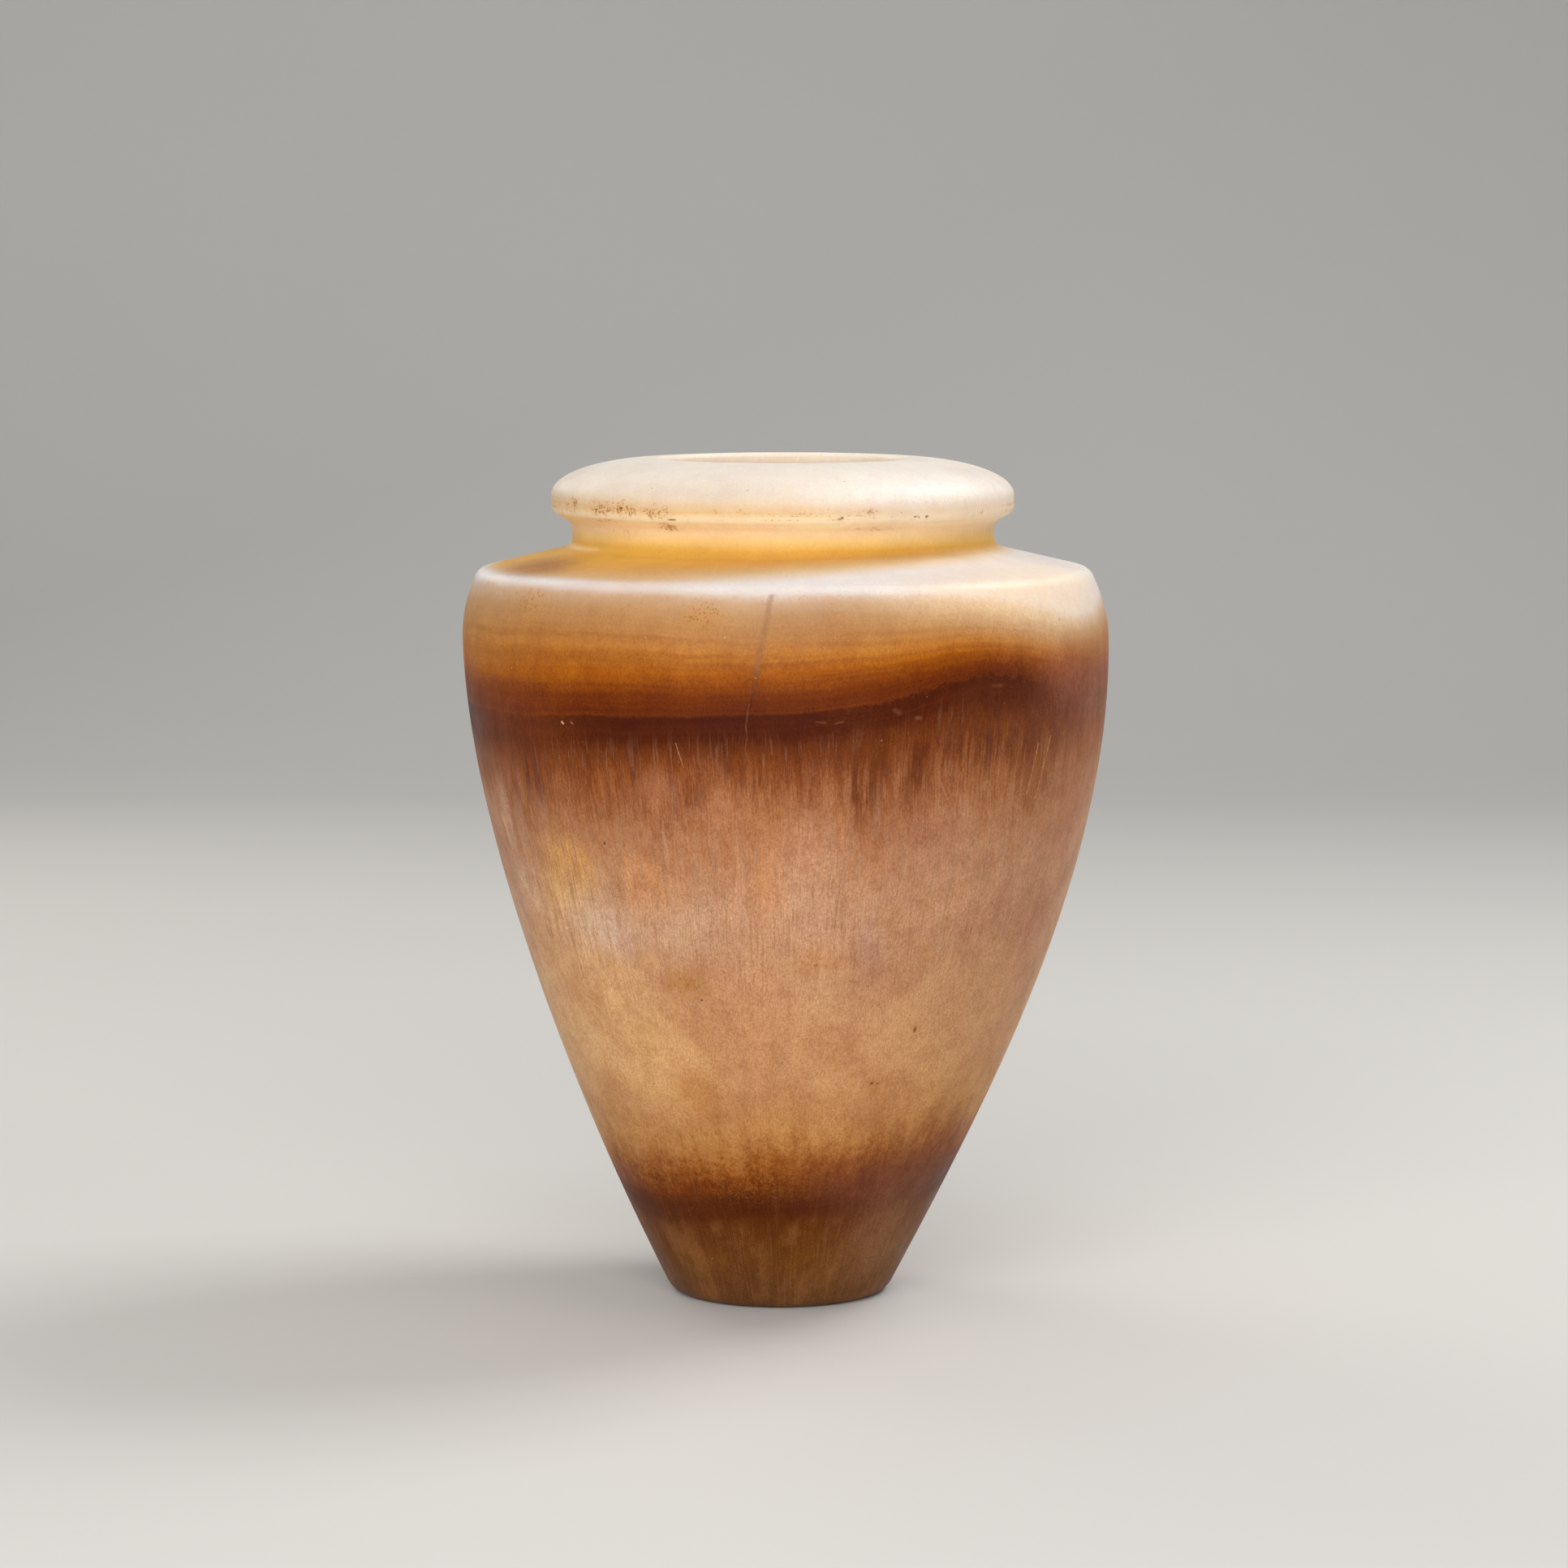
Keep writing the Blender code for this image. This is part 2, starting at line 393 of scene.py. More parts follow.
# Chips and pits that the photo shows under the collar and on the belly
jarPits = [
    # azimuth, height, radius, depth
    (13.6, 281.5, 2.2, 1.1), (14.2, 280.6, 1.8, 0.9), (33.6, 281.7, 1.3, 0.7), (37.2, 281.7, 1.3, 0.7),
    (-27.5, 281.6, 1.8, 0.5), (-42, 213, 1.2, 0.5), (-20, 287, 1.6, 0.4),
]
scatteredPits = {"count": 260, "radius": 0.0014, "depth": 0.00022, "seed": 7}
pitBowl = {"depth": 0.7, "softness": 0.4}    # rounds the bottom of each pit


def pitCloud(pits):
    # one point for each named pit, with its radius and depth, for the tree to measure from
    mesh = bpy.data.meshes.new("pitCloud")
    mesh.from_pydata([surfacePoint(azimuth, height) for azimuth, height, _, _ in pits], [], [])
    radius = mesh.attributes.new("pitRadius", "FLOAT", "POINT")
    depth = mesh.attributes.new("pitDepth", "FLOAT", "POINT")
    for index, pit in enumerate(pits):
        radius.data[index].value = pit[2] / 1000
        depth.data[index].value = pit[3] / 1000
    return added("pitCloud", mesh)


def pitDent(cloud, radius, depth):
    # how deep the nearest pit is at each point; a size is a value, or the name of one on each pit
    tree = cloud.tree
    nearest = made(tree, "GeometryNodeSampleNearest", {"Geometry": cloud}, domain="POINT")
    place = itemOf(cloud, nearest, here(tree), "FLOAT_VECTOR")
    distance = along("DISTANCE", place, here(tree), "Value")
    sizes = []
    for size in (radius, depth):
        if isinstance(size, str):
            named = made(tree, "GeometryNodeInputNamedAttribute", {"Name": size}, data_type="FLOAT")
            size = itemOf(cloud, nearest, named, "FLOAT")
        sizes.append(size)
    near = calc("SUBTRACT", 1.0, distance / sizes[0], clamp=True)
    return calc("SMOOTH_MIN", near, pitBowl["depth"], pitBowl["softness"]) * sizes[1]


def turnedStoneTree():
    # turns the outline, moves it off its axis as the cutter did, and dents it
    tree, given, result = newGroup("turnedStone", "GeometryNodeTree", {
        "Outline": "Geometry", "Faces Around": 64,
        "Body Drift": 0.0, "Mouth Drift": 0.0, "Drift At Zero": 0.0, "Height": 0.3,
        "Waviness": 0.0, "Wave Size": 0.04, "Wave Bias": 0.5, "Rows Inside": 10,
        "Pits": "Object", "Small Pits": 100, "Small Pit Radius": 0.001, "Small Pit Depth": 0.0002,
        "Seed": 1, "Outer Stone": "Material", "Inner Stone": "Material",
    }, {"Stone": "Geometry"})
    tree.is_modifier = True
    rows = made(tree, "GeometryNodeAttributeDomainSize", {"Geometry": given["Outline"]}, "Point Count",
                component="MESH")
    columns = given["Faces Around"] + 1.0
    grid = made(tree, "GeometryNodeMeshGrid",
                {"Size X": 1.0, "Size Y": 1.0, "Vertices X": rows, "Vertices Y": columns})
    flat = parts(here(tree))
    row = calc("ROUND", (flat[0] + 0.5) * (rows - 1.0))
    angle = (flat[1] + 0.5) * (2 * math.pi)
    radius, _, height = parts(itemOf(given["Outline"], row, here(tree), "FLOAT_VECTOR"))
    share = calc("DIVIDE", height, given["Height"], clamp=True)
    bulge = calc("POWER", abs(calc("SINE", share * math.pi)), driftPower)
    drift = bulge * given["Body Drift"] + share * given["Mouth Drift"] - given["Drift At Zero"]
    # the outline's first column is at the back, so that the seam is too
    turned = joined(radius * calc("SINE", angle) + drift, radius * calc("COSINE", angle), height)
    placed = made(tree, "GeometryNodeSetPosition", {"Geometry": grid, "Position": turned})
    inner = made(tree, "FunctionNodeCompare", {"A": row, "B": given["Rows Inside"]},
                 data_type="FLOAT", operation="LESS_THAN")
    labelled = made(tree, "GeometryNodeStoreNamedAttribute",
                    {"Geometry": placed, "Name": "hollowSide", "Value": inner},
                    data_type="BOOLEAN", domain="POINT")
    outward = made(tree, "GeometryNodeFlipFaces", {"Mesh": labelled})
    closed = made(tree, "GeometryNodeMergeByDistance", {"Geometry": outward, "Distance": 0.000002})
    # waves of the cutter's hand, then named pits, then small scattered ones
    waves = noise(here(tree), 1.0 / given["Wave Size"], 2.0, 0.4)
    wave = (waves - given["Wave Bias"]) * given["Waviness"]
    cloud = made(tree, "GeometryNodeObjectInfo", {"Object": given["Pits"]}, "Geometry")
    named = pitDent(cloud, "pitRadius", "pitDepth")
    faceArea = made(tree, "GeometryNodeInputMeshFaceArea")
    area = made(tree, "GeometryNodeAttributeStatistic", {"Geometry": closed, "Attribute": faceArea}, "Sum",
                domain="FACE")
    spread = made(tree, "GeometryNodeDistributePointsOnFaces",
                  {"Mesh": closed, "Seed": given["Seed"], "Density": given["Small Pits"] / area}, "Points",
                  distribute_method="RANDOM")
    small = pitDent(spread, given["Small Pit Radius"], given["Small Pit Depth"])
    dent = wave - (named + small)
    clear = remap(parts(here(tree))[2], 0.0, jarMesh["flatFoot"])
    offset = scaled(made(tree, "GeometryNodeInputNormal"), dent * clear)
    shaped = made(tree, "GeometryNodeSetPosition", {"Geometry": closed, "Offset": offset})
    smooth = made(tree, "GeometryNodeSetShadeSmooth", {"Geometry": shaped})
    whole = made(tree, "GeometryNodeRealizeInstances", {"Geometry": smooth})
    outer = made(tree, "GeometryNodeSetMaterial", {"Geometry": whole, "Material": given["Outer Stone"]})
    side = made(tree, "GeometryNodeInputNamedAttribute", {"Name": "hollowSide"}, data_type="BOOLEAN")
    inner = made(tree, "GeometryNodeSetMaterial",
                 {"Geometry": outer, "Selection": side, "Material": given["Inner Stone"]})
    send(inner, result["Stone"])
    return tree


def turnedJar(outerStone, innerStone):
    mesh = bpy.data.meshes.new("jarOutline")
    mesh.from_pydata([(x, 0.0, z) for x, z in outline], [(i, i + 1) for i in range(len(outline) - 1)], [])
    blank = added("jarOutline", mesh)
    cloud = pitCloud(jarPits)
    tree = turnedStoneTree()
    modifier = blank.modifiers.new("turnedStone", "NODES")
    modifier.node_group = tree
    values = {
        "Faces Around": jarMesh["around"],
        "Body Drift": jarShape["bodyDrift"], "Mouth Drift": jarShape["mouthDrift"],
        "Drift At Zero": driftZero, "Height": jarTop,
        "Waviness": jarMesh["waviness"], "Wave Size": jarMesh["waveSize"], "Wave Bias": jarMesh["waveBias"],
        "Rows Inside": insideRows - jarMesh["roundRows"],
        "Pits": cloud,
        "Small Pits": scatteredPits["count"], "Small Pit Radius": scatteredPits["radius"],
        "Small Pit Depth": scatteredPits["depth"], "Seed": scatteredPits["seed"],
        "Outer Stone": outerStone, "Inner Stone": innerStone,
    }
    for item in tree.interface.items_tree:
        if item.item_type == "SOCKET" and item.in_out == "INPUT" and item.name in values:
            modifier[item.identifier] = values[item.name]
    blank.update_tag()
    bpy.context.view_layer.update()
    shaped = blank.evaluated_get(bpy.context.evaluated_depsgraph_get())
    finished = bpy.data.meshes.new_from_object(shaped)
    finished.name = "alabasterJar"
    jar = added("alabasterJar", finished)
    bpy.data.objects.remove(blank)
    bpy.data.objects.remove(cloud)
    return jar


# Stone

# Layers of the folded stone from the ground up: name, height in millimetres, colour
stoneLayers = [
    ("underfoot", 0, (112, 76, 44)), ("olive foot", 20, (118, 74, 24)), ("foot's top", 32, (106, 56, 8)),
    ("dark line", 39, (92, 40, 3)), ("rust line", 43, (98, 44, 4)), ("rust", 50, (130, 68, 12)),
    ("fringe", 57, (160, 98, 38)), ("tan", 68, (196, 146, 90)), ("honeycomb", 90, (210, 166, 120)),
    ("peach", 118, (202, 160, 122)), ("rose", 150, (194, 154, 126)), ("dusk", 172, (184, 134, 96)),
    ("drips", 190, (162, 104, 60)), ("bark", 201, (134, 72, 24)), ("darkest", 210, (92, 34, 2)),
    ("under the line", 218.7, (82, 28, 1)), ("the line", 219.2, (122, 56, 8)),
    ("over the line", 219.8, (108, 44, 2)), ("brown", 226, (130, 60, 3)), ("amber", 233, (174, 102, 16)),
    ("honey", 239, (188, 126, 50)), ("wheat", 246, (182, 133, 80)), ("cream", 252, (182, 143, 100)),
    # milk: the stone's white, tinted bluish-white as a painted highlight along the shoulder's turn
    ("pale cream", 256.5, (192, 164, 136)), ("milk", 260, (208, 202, 200)),
]
# From the shoulder's turn to the mouth, with painted shadow, glow and highlight on the shoulder and neck
upperLayers = [
    # milk and shoulder: the stone's white, tinted bluish-white as a painted highlight along the shoulder's
    # turn
    ("milk", 259, (208, 202, 200)), ("shoulder", 262.5, (206, 203, 203)),
    # at 265.5: painted shadow of the collar on the shoulder, warmed by a painted amber glow
    ("collar's painted shadow", 265.5, (206, 174, 130)), ("neck's foot", 268.0, (212, 158, 80)),
    # from the neck's foot to the collar's base: the stone's amber with a painted glow, lightened near to
    # white under the collar against the collar's shade
    ("amber neck", 271, (222, 170, 74)), ("yellow neck", 275, (238, 205, 142)),
    ("collar's base", 279.6, (249, 238, 208)), ("collar's edge", 284.5, (216, 188, 144)),
    ("crown", 290, (210, 198, 182)), ("rim", 299, (216, 208, 198)),
]
# Where the layers rise or sink: azimuth, height, reach across, reach up, rise
layerFolds = [
    (38, 228, 22, 16, 7.4), (70, 236, 34, 17, -10), (54, 254, 34, 12, -4.5), (-50, 50, 36, 26, -4.5),
    (44, 50, 36, 26, -2), (-10, 54, 34, 26, 3.4), (118, 214, 40, 30, -6), (165, 226, 26, 22, 7.5),
    (-128, 222, 34, 26, -5.5), (-165, 60, 36, 30, 6),
]
# Where each effect starts, is full, begins to fade and ends, in millimetres of the folded layers
layerBands = {
    "drips": (110, 160, 186, 214), "frayed edge": (42, 54, 70, 92),
    "wisps": (118, 150, 176, 198), "dark line": (200, 214, 222, 230),
    "upper laminations": (203, 211, 240, 256), "lower laminations": (34, 40, 48, 64),
}
# How far fibres and crumbs pull the layers up and down, in millimetres
pulls = {"wide": 40.0, "fine": 9.0, "hair": 9.0, "drips": 1.2, "frayed edge": 22.0,
         "crumbs": (2.0, 5.0), "crumbled edge": 24.0, "crumbled line": 18.0}
# Towards +X, and more steeply on that side, but level again above
layerTilt = {"rise": 0.060, "bend": 0.025, "fullBelow": 0.226, "noneAbove": 0.250, "sway": 0.007}
# the upper colours sink on the left (-X) side, so that the collar's painted shadow and glow reach further
# down the shoulder there
collarShadowTilt = 0.050
fibres = {
    # strokes in each radian round the jar and in each metre of height
    "wide": (11.0, 24.0), "fine": (40.0, 36.0), "hair": (150.0, 75.0), "grain": (300.0, 560.0),
    "lean": 0.045,
}
# Patterns: how many to the metre, or to the metre each way
patterns = {
    "sway": 18.0, "fibre lean": 24.0, "crumbs": 420.0, "foot blotches": (90.0, 90.0, 60.0),
    "laminations": (9.0, 0.46),    # the second to the millimetre of height
    "soil patches": 34.0, "soil dust": 420.0, "turning marks": (16.0, 16.0, 1500.0), "wear": 80.0,
    "drilled clouds": 40.0, "drilled grain": 700.0, "drill rings": 700.0,
}


def ramp(value, layers):
    # nodes are made in the order they are worked out, or a long chain of them is too much for the renderer
    low, high = layers[0][1], layers[-1][1]
    node = put(value.tree, "ShaderNodeValToRGB", {0: remap(value, low, high, smooth=False)})
    elements = node.color_ramp.elements
    while len(elements) < len(layers):
        elements.new(0.5)
    for element, (_, height, colour) in zip(elements, layers):
        element.position = (height - low) / (high - low)
        element.color = linear(*colour)
    return Value(node.outputs[0])


def shaded(colour, value, low, high, tint, brightTint=(255, 255, 255)):
    # darkens the colour towards the tint where the value is low
    shade = blend(remap(value, low, high), linear(*tint), linear(*brightTint))
    return blend(1.0, colour, shade, "MULTIPLY")


def marked(colour, mask, name):
    tint, strength = marks[name]
    return blend(mask * strength, colour, linear(*tint))


def spotGroup():
    # 1 inside an egg-shaped spot with a ragged edge, 0 outside
    tree, given, result = newGroup("ragged spot", "ShaderNodeTree", {
        "Position": "Vector", "Centre": "Vector", "Size": (0.01, 0.01, 0.01),
        "Edge": 0.6, "Unevenness": 0.0, "Ragged": 0.3,
    }, {"Mask": "Float"})
    reach = along("SUBTRACT", given["Position"], given["Centre"])
    reach = along("DIVIDE", reach, given["Size"])
    distance = along("LENGTH", reach, output="Value")
    distance = calc("MULTIPLY_ADD", given["Unevenness"], given["Ragged"], distance)
    send(remap(distance, 1.0 - given["Edge"], given["Edge"] + 1.0, 1.0, 0.0), result["Mask"])
    return tree


def lineGroup():
    # 1 on a straight line between two points, fading to 0 at its width
    tree, given, result = newGroup("drawn line", "ShaderNodeTree", {
        "Position": "Vector", "From": "Vector", "To": "Vector",
        "Width": 0.001, "Unevenness": 0.0, "Flat": 0.0,
    }, {"Mask": "Float"})
    span = along("SUBTRACT", given["To"], given["From"])
    reach = along("SUBTRACT", given["Position"], given["From"])
    share = calc("DIVIDE", along("DOT_PRODUCT", reach, span, "Value"),
                 along("DOT_PRODUCT", span, span, "Value"), clamp=True)
    distance = along("LENGTH", along("SUBTRACT", reach, scaled(span, share)), output="Value")
    distance = calc("MULTIPLY_ADD", given["Unevenness"], given["Width"], distance)
    send(remap(distance, given["Flat"] * given["Width"], given["Width"], 1.0, 0.0), result["Mask"])
    return tree


def layersGroup():
    # the stone itself: its colour, the folded height in millimetres and how fibrous it is
    tree, given, result = newGroup("stone layers", "ShaderNodeTree", {"Position": "Vector"}, {
        "Colour": "Color", "Layer": "Float", "Strokes": "Float", "Unevenness": "Float", "Grain": "Float",
    })
    place = given["Position"]
    x, y, height = parts(place)
    tilt = x * layerTilt["rise"] + abs(x) * layerTilt["bend"]
    layer = height - tilt * remap(height, layerTilt["noneAbove"], layerTilt["fullBelow"])
    for azimuth, foldHeight, across, up, rise in layerFolds:
        reach = along("SUBTRACT", place, surfacePoint(azimuth, foldHeight))
        reach = along("DIVIDE", reach, metres(across, across, up))
        fold = calc("EXPONENT", along("DOT_PRODUCT", reach, reach, "Value") * -0.5)
        layer = layer - fold * (rise / 1000)
    sway = noise(place, patterns["sway"]) - 0.5
    layer = (layer + sway * layerTilt["sway"]) * 1000.0

    # fibres run from mouth to foot, leaning a little, and pull the layers into a fringe
    levelX, levelY, _ = parts(along("NORMALIZE", joined(x, y)))
    lean = (noise(place, patterns["fibre lean"], 2.0) - 0.5) * fibres["lean"]
    aroundX = levelX + lean * levelY
    aroundY = levelY - lean * levelX

    def strokes(kind, detail):
        across, down = fibres[kind]
        vector = joined(aroundX * across, aroundY * across, height * down)
        return noise(vector, 1.0, detail, 0.62) - 0.5

    wide = strokes("wide", 3.0)
    fine = strokes("fine", 3.0)
    hair = strokes("hair", 2.0)
    fringe = calc("MULTIPLY_ADD", wide, pulls["wide"],
                  remap(fine, -0.17, 0.17, -pulls["fine"], pulls["fine"]))
    fringe = fringe + remap(hair, -0.13, 0.13, -pulls["hair"], pulls["hair"])
    dripping = between(layer, *layerBands["drips"])
    frayed = between(layer, *layerBands["frayed edge"])
    foot = remap(layer, 39.0, 30.0)
    pulled = calc("MULTIPLY_ADD", fringe, dripping * pulls["drips"], layer)
    pulled = calc("MULTIPLY_ADD", wide * pulls["frayed edge"], frayed, pulled)
    crumbs = noise(place, patterns["crumbs"], 5.0, 0.85) - 0.5
    loose = remap(layer, 219.5, 230.0, *pulls["crumbs"]) + frayed * pulls["crumbled edge"]
    atLine = between(layer, *layerBands["dark line"])
    loose = loose + remap(x, 0.020, 0.060, 0.0, pulls["crumbled line"]) * atLine
    pulled = calc("MULTIPLY_ADD", crumbs, loose, pulled)
    colour = ramp(pulled, stoneLayers)

    # pale and dark strokes over the fringe and the foot
    streak = fine * 0.7 + hair
    body = calc("MAXIMUM", remap(layer, 96.0, 140.0, 0.10, 1.0), foot * 0.22)
    zone = remap(layer, 216.0, 203.0) * body
    wisps = remap(calc("MULTIPLY_ADD", fine, 0.5, wide), 0.02, 0.20)
    colour = marked(colour, wisps * between(layer, *layerBands["wisps"]), "wisps")
    paleTint, paleness = marks["pale strokes"]
    pale = remap(streak, 0.02, 0.20) * zone * remap(pulled, 214.0, 190.0, *paleness)
    colour = blend(pale, colour, linear(*paleTint))
    darkTint, darkness = marks["dark strokes"]
    dark = remap(streak, -0.02, -0.20) * zone * darkness
    colour = blend(dark, colour, blend(1.0, colour, linear(*darkTint), "MULTIPLY"))
    blotch = calc("MULTIPLY_ADD", wide, 0.5, noise(place, patterns["foot blotches"], 4.0, 0.6))
    colour = marked(colour, foot * remap(blotch, 0.48, 0.66), "foot blotches")

    # thin laminations in the two dark bands
    across, up = patterns["laminations"]
    lamination = noise(joined(x * across, y * across, layer * up), 1.0, 3.0, 0.65)
    layered = calc("MAXIMUM", between(layer, *layerBands["upper laminations"]),
                   between(layer, *layerBands["lower laminations"]))
    lineTint, lineStrength = marks["laminations"]
    lined = shaded(colour, lamination, 0.34, 0.62, lineTint)
    colour = blend(layered * lineStrength, colour, lined)

    # the collar's painted shadow lies lower on the shoulder's left side
    collarShadowLean = remap(height, 0.2720, 0.2670, 0.0, collarShadowTilt) * remap(height, 0.2602, 0.2630)
    upper = ramp((height - x * collarShadowLean) * 1000.0, upperLayers)
    colour = blend(remap(height, 0.2575, 0.2615), colour, upper)
    send(colour, result["Colour"])
    send(layer, result["Layer"])
    send(streak * zone, result["Strokes"])
    send(crumbs, result["Unevenness"])
    send(strokes("grain", 2.0) * remap(layer, 246.0, 218.0, 0.25, 1.0), result["Grain"])
    return tree


# What lies on the stone or in it: colour and how much of it shows
marks = {
    "wisps": ((212, 174, 148), 0.50),
    "pale strokes": ((224, 176, 138), (0.16, 0.42)),    # in the drips, and below them
    "dark strokes": ((196, 170, 140), 0.34),
    "foot blotches": ((150, 104, 56), 0.40),
    "laminations": ((222, 210, 196), 0.55),
    "stain": ((196, 142, 66), 0.62),
    "freckles": ((134, 80, 26), 0.70),
    "chips": ((108, 62, 20), 0.80),
    "pinholes": ((112, 66, 28), 0.55),
    "nicks": ((236, 200, 164), 0.70),
    "mouth soil": ((190, 146, 104), 0.70),
}
# Cloudiness: name, scale, detail, roughness, lowest, highest, tint at each
cloudiness = [
    ("clouds", 26.0, 5.0, 0.65, 0.36, 0.62, (239, 229, 226), (255, 254, 250)),
    ("mottle", 130.0, 4.0, 0.65, 0.32, 0.62, (241, 234, 230), (255, 255, 255)),
    ("grain", 1300.0, 2.0, 0.60, 0.30, 0.66, (232, 224, 217), (255, 255, 255)),
]
# Clouds of another tint, among them painted shadow and highlight on the shoulder and crown: azimuth, height,
# reach across, reach up, colour, strength
cloudsAndPaintedLight = [
    (-66, 174, 4.5, 14, (232, 202, 170), 0.42), (-64, 152, 7, 8, (230, 200, 170), 0.42),
    (-60, 146, 8, 5, (230, 198, 168), 0.42), (-47, 164, 12, 9, (226, 182, 112), 0.72),
    (-50, 152, 11, 8, (228, 188, 126), 0.7), (-43, 142, 14, 9, (208, 186, 172), 0.72),
    (-37, 136, 8, 6, (206, 180, 172), 0.55), (-25, 141, 10, 10, (210, 178, 156), 0.4),
    (-17, 145, 5, 13, (206, 172, 150), 0.35), (-28, 158, 10, 10, (222, 164, 104), 0.35),
    (2, 152, 11, 18, (216, 178, 150), 0.45), (-4, 158, 5, 14, (216, 156, 100), 0.4),
    (4, 176, 8, 10, (206, 160, 130), 0.4), (16, 137, 5, 12, (198, 164, 152), 0.45),
    (30, 172, 14, 12, (190, 146, 124), 0.4), (30, 150, 18, 10, (200, 150, 118), 0.3),
    (-67, 138, 5, 4, (200, 140, 92), 0.4), (-31, 130, 4, 3, (212, 166, 108), 0.35),
    (-22, 124, 4, 3, (196, 144, 88), 0.35), (20, 146, 4, 5, (186, 138, 88), 0.35),
    (27, 152, 4.5, 3, (180, 132, 82), 0.3), (-24, 84, 7, 7, (184, 112, 46), 0.4),
    (-52, 85, 6, 5, (188, 122, 60), 0.3), (13, 197, 6, 15, (112, 56, 20), 0.55),
    (22, 200, 5, 12, (116, 60, 24), 0.5), (50, 197, 16, 15, (128, 72, 32), 0.5),
    (-37, 187, 8, 6, (140, 80, 38), 0.45), (-24, 193, 6, 5, (196, 144, 110), 0.35),
    (-10, 184, 10, 8, (186, 130, 96), 0.35), (39, 223.5, 18, 7, (98, 46, 20), 0.6),
    (56, 231, 12, 8, (186, 122, 76), 0.5), (64, 222, 21, 13, (152, 98, 76), 0.72),
    (84, 224, 24, 17, (158, 104, 82), 0.6), (30, 50, 22, 10, (128, 78, 56), 0.5),
    (46, 46, 16, 14, (138, 92, 68), 0.5), (46, 26, 16, 14, (154, 114, 82), 0.45),
    # (58, 256) and (34, 256): the shoulder's pale stone, made paler on its lit right side: partly painted
    # light
    (66, 150, 30, 50, (190, 134, 96), 0.45), (58, 256, 34, 13, (238, 214, 180), 0.55),
    (34, 256, 26, 7, (236, 206, 164), 0.35), (-56, 118, 30, 34, (236, 192, 140), 0.55),
    # (-63, 264.2) is painted shadow of the collar on the shoulder's left
    (-34, 98, 30, 22, (222, 182, 128), 0.4), (-63, 264.2, 18, 3.4, (150, 92, 50), 0.7),
    # (34, 290) and (70, 289) whiten the crown's right side: painted highlight
    (34, 290, 36, 7, (228, 226, 224), 0.6), (70, 289, 30, 7, (228, 226, 224), 0.5),
    # (-30, 263) is painted shadow of the collar on the shoulder
    (-30, 263, 20, 3, (196, 140, 92), 0.35), (30, 208.5, 28, 7, (98, 46, 18), 0.42),
    (52, 208.5, 24, 8, (106, 54, 26), 0.4), (-8, 110, 10, 28, (216, 166, 124), 0.35),
    (24, 98, 26, 20, (202, 154, 114), 0.25), (-58, 213, 30, 10, (140, 70, 16), 0.4),
    (140, 165, 22, 14, (232, 170, 92), 0.5), (152, 146, 18, 12, (216, 190, 172), 0.5),
    (-150, 158, 16, 20, (222, 192, 164), 0.45), (-105, 150, 20, 10, (230, 168, 92), 0.4),
    (100, 120, 26, 18, (214, 166, 118), 0.4), (-118, 196, 14, 14, (120, 64, 26), 0.5),
    (130, 192, 16, 12, (126, 68, 28), 0.5),
]
# Soil left in the surface: azimuth, height, reach across, reach up, strength
soiledPlaces = [
    (-51, 253.5, 12, 5.6, 0.74), (-57, 254, 6, 4.5, 0.6), (-14, 252, 9, 5.8, 0.78),
    (-34, 254.5, 40, 6, 0.42), (-8, 253.5, 20, 5, 0.34), (3, 258.5, 6, 2.2, 0.45), (14, 255, 6, 3, 0.35),
    (-62, 285.2, 4.5, 3.2, 0.85), (-50, 284.6, 9, 3.2, 0.8), (-42, 285, 8, 3.4, 0.88),
    (-32, 284.2, 9, 2.8, 0.74), (-14, 284.2, 12, 2, 0.5), (6, 284.2, 8, 1.8, 0.45),
    (20, 284.5, 7, 1.8, 0.7), (30, 284.2, 8, 1.6, 0.45), (40, 284.6, 5, 1.6, 0.45),
    (-30, 279.2, 4, 2.2, 0.95), (-50, 280.6, 10, 1.2, 0.65), (-47, 276, 6, 2.6, 0.45),
    (26, 278.8, 8, 1.4, 0.6), (-24, 272.8, 8, 2, 0.5), (18, 278.5, 5, 1.2, 0.5), (-22, 124, 11, 7, 0.75),
    (-28, 133, 9, 6, 0.45), (5, 132.5, 11, 6, 0.75), (14, 129, 6, 5, 0.45), (32, 134, 12, 6, 0.45),
    (-40, 130, 9, 5, 0.55), (50, 130, 10, 5, 0.3), (-55, 120, 10, 6, 0.35), (-30, 108, 20, 12, 0.2),
    (-20, 60, 18, 10, 0.45), (24, 64, 14, 7, 0.45), (-24, 84, 7, 8, 0.6), (10, 95, 10, 8, 0.3),
    (30, 108, 3, 3, 0.7), (23, 84, 4, 3, 0.75), (-50, 52, 14, 8, 0.45), (-10, 50, 20, 8, 0.3),
    (120, 254, 18, 6, 0.6), (-170, 252, 16, 6, 0.6), (170, 284.5, 20, 1.4, 0.7),
    (-120, 284.5, 16, 1.4, 0.7), (90, 130, 16, 8, 0.5), (-140, 122, 16, 9, 0.5), (150, 60, 16, 9, 0.45),
    (80, 284.5, 12, 1.4, 0.5),
]
